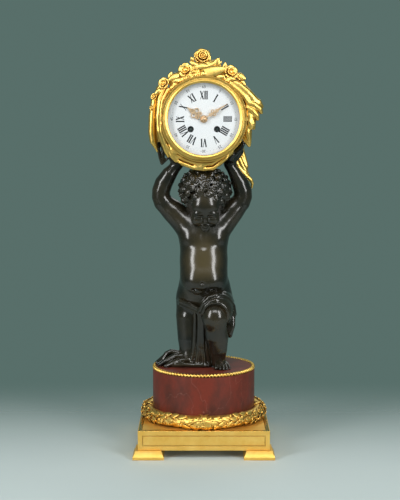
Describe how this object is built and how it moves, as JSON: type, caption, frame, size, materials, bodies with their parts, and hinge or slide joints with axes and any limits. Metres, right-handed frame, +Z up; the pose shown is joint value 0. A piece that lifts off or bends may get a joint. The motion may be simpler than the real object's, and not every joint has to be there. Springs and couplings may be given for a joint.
{
  "type": "figural mantel clock",
  "caption": "Gilt and dark bronze mantel clock: a kneeling child on a red marble drum lifts a round clock dressed with drapery and roses.",
  "frame": {"origin": "floor level at the centre of the four feet", "axes": "+Z up, the dial faces -Y, +X to the viewer's right"},
  "size_m": [0.196, 0.196, 0.5635],
  "materials": {
    "gilt_bronze": "matte fire-gilt bronze",
    "brass": "polished brass",
    "dark_bronze": "dark patinated bronze",
    "red_marble": "polished red marble",
    "enamel": "white enamel",
    "clear_glass": "clear glass",
    "steel": "blued and grey steel"
  },
  "bodies": {
    "clock_frame": {"foot_front_left": "gilt_bronze", "foot_front_right": "gilt_bronze", "foot_rear_left": "gilt_bronze", "foot_rear_right": "gilt_bronze", "plinth": "gilt_bronze", "laurel_wreath": "gilt_bronze", "rope_ring": "gilt_bronze", "case_drum": "gilt_bronze", "front_ring": "gilt_bronze", "back_ring": "gilt_bronze", "drapery_left": "gilt_bronze", "drapery_right": "gilt_bronze", "drapery_swag": "gilt_bronze", "drapery_tail": "gilt_bronze", "floral_crest": "gilt_bronze", "figure_torso": "dark_bronze", "figure_head": "dark_bronze", "figure_right_arm": "dark_bronze", "figure_left_arm": "dark_bronze", "figure_right_leg": "dark_bronze", "figure_left_leg": "dark_bronze", "figure_drapery": "dark_bronze", "ground_cloth": "dark_bronze", "marble_drum": "red_marble", "enamel_dial": "enamel", "dial_plate": "brass", "front_plate": "brass", "back_plate": "brass", "movement_straps": "brass", "suspension_cock": "brass", "bell_post": "brass", "foot_screws": "steel", "figure_studs": "steel", "stud_nuts": "steel", "hinge_pins": "steel", "bell": "steel"},
    "bezel_door": {"front_bezel": "gilt_bronze", "bezel_glass": "clear_glass"},
    "rear_door": {"back_door": "brass"},
    "minute_group": {"minute_hand": "gilt_bronze", "hand_nut": "gilt_bronze", "cannon_pinion": "steel"},
    "minute_wheel_group": {"minute_wheel": "brass"},
    "hour_group": {"hour_hand": "gilt_bronze", "hour_wheel": "brass"},
    "going_barrel_group": {"going_barrel": "brass"},
    "going_arbor_group": {"going_arbor": "steel"},
    "second_group": {"second_wheel": "brass"},
    "centre_group": {"centre_wheel": "brass"},
    "third_group": {"third_wheel": "brass"},
    "escape_group": {"escape_wheel": "brass"},
    "pendulum": {"anchor": "steel", "pendulum_rod": "steel", "pendulum_bob": "brass"},
    "strike_barrel_group": {"strike_barrel": "brass"},
    "strike_arbor_group": {"strike_arbor": "steel"},
    "pin_wheel_group": {"pin_wheel": "brass", "count_wheel": "brass"},
    "fly_group": {"fly": "brass"},
    "hammer_group": {"hammer": "steel"}
  },
  "joints": [
    {"name": "bezel_hinge", "type": "hinge", "parent": "clock_frame", "child": "bezel_door", "pos_m": [-0.0594, -0.043, 0.466], "axis": [0, 0, -1], "range_deg": [0, 100]},
    {"name": "rear_door_hinge", "type": "hinge", "parent": "clock_frame", "child": "rear_door", "pos_m": [0.0594, 0.0396, 0.466], "axis": [0, 0, -1], "range_deg": [0, 100]},
    {"name": "minute_turn", "type": "hinge", "parent": "clock_frame", "child": "minute_group", "pos_m": [0, 0, 0.466], "axis": [0, -1, 0], "continuous": true},
    {"name": "minute_wheel_turn", "type": "hinge", "parent": "clock_frame", "child": "minute_wheel_group", "pos_m": [0, 0, 0.4804], "axis": [0, -1, 0], "continuous": true},
    {"name": "hour_turn", "type": "hinge", "parent": "clock_frame", "child": "hour_group", "pos_m": [0, 0, 0.466], "axis": [0, -1, 0], "continuous": true},
    {"name": "going_winding", "type": "hinge", "parent": "clock_frame", "child": "going_arbor_group", "pos_m": [0.0182, 0, 0.4521], "axis": [0, 1, 0], "range_deg": [0, 1440]},
    {"name": "strike_winding", "type": "hinge", "parent": "clock_frame", "child": "strike_arbor_group", "pos_m": [-0.0182, 0, 0.4521], "axis": [0, 1, 0], "range_deg": [0, 1440]},
    {"name": "third_turn", "type": "hinge", "parent": "clock_frame", "child": "third_group", "pos_m": [-0.0061, 0, 0.48036], "axis": [0, -1, 0], "continuous": true},
    {"name": "centre_turn", "type": "hinge", "parent": "clock_frame", "child": "centre_group", "pos_m": [0, 0, 0.466], "axis": [0, -1, 0], "continuous": true},
    {"name": "second_turn", "type": "hinge", "parent": "clock_frame", "child": "second_group", "pos_m": [0.01649, 0, 0.47163], "axis": [0, -1, 0], "continuous": true},
    {"name": "going_barrel_turn", "type": "hinge", "parent": "clock_frame", "child": "going_barrel_group", "pos_m": [0.0182, 0, 0.4521], "axis": [0, -1, 0], "continuous": true},
    {"name": "escape_turn", "type": "hinge", "parent": "clock_frame", "child": "escape_group", "pos_m": [0, 0, 0.493], "axis": [0, -1, 0], "continuous": true},
    {"name": "pendulum_swing", "type": "hinge", "parent": "clock_frame", "child": "pendulum", "pos_m": [0, 0, 0.5045], "axis": [0, -1, 0], "range_deg": [-3.5, 3.5]},
    {"name": "pin_wheel_turn", "type": "hinge", "parent": "clock_frame", "child": "pin_wheel_group", "pos_m": [-0.028, 0, 0.46907], "axis": [0, -1, 0], "continuous": true},
    {"name": "strike_barrel_turn", "type": "hinge", "parent": "clock_frame", "child": "strike_barrel_group", "pos_m": [-0.0182, 0, 0.4521], "axis": [0, -1, 0], "continuous": true},
    {"name": "fly_turn", "type": "hinge", "parent": "clock_frame", "child": "fly_group", "pos_m": [-0.03043, 0, 0.48286], "axis": [0, -1, 0], "continuous": true},
    {"name": "hammer_lift", "type": "hinge", "parent": "clock_frame", "child": "hammer_group", "pos_m": [-0.014, 0, 0.49], "axis": [0, 1, 0], "range_deg": [0, 12]}
  ],
  "couplings": [
    {"joint": "minute_wheel_turn", "follows": "minute_turn", "ratio": -0.33333},
    {"joint": "hour_turn", "follows": "minute_turn", "ratio": 0.083333},
    {"joint": "centre_turn", "follows": "third_turn", "ratio": -0.083333},
    {"joint": "second_turn", "follows": "third_turn", "ratio": 0.015625},
    {"joint": "going_barrel_turn", "follows": "third_turn", "ratio": -0.0026042},
    {"joint": "escape_turn", "follows": "third_turn", "ratio": -12},
    {"joint": "strike_barrel_turn", "follows": "pin_wheel_turn", "ratio": -0.16667},
    {"joint": "fly_turn", "follows": "pin_wheel_turn", "ratio": -6}
  ]
}
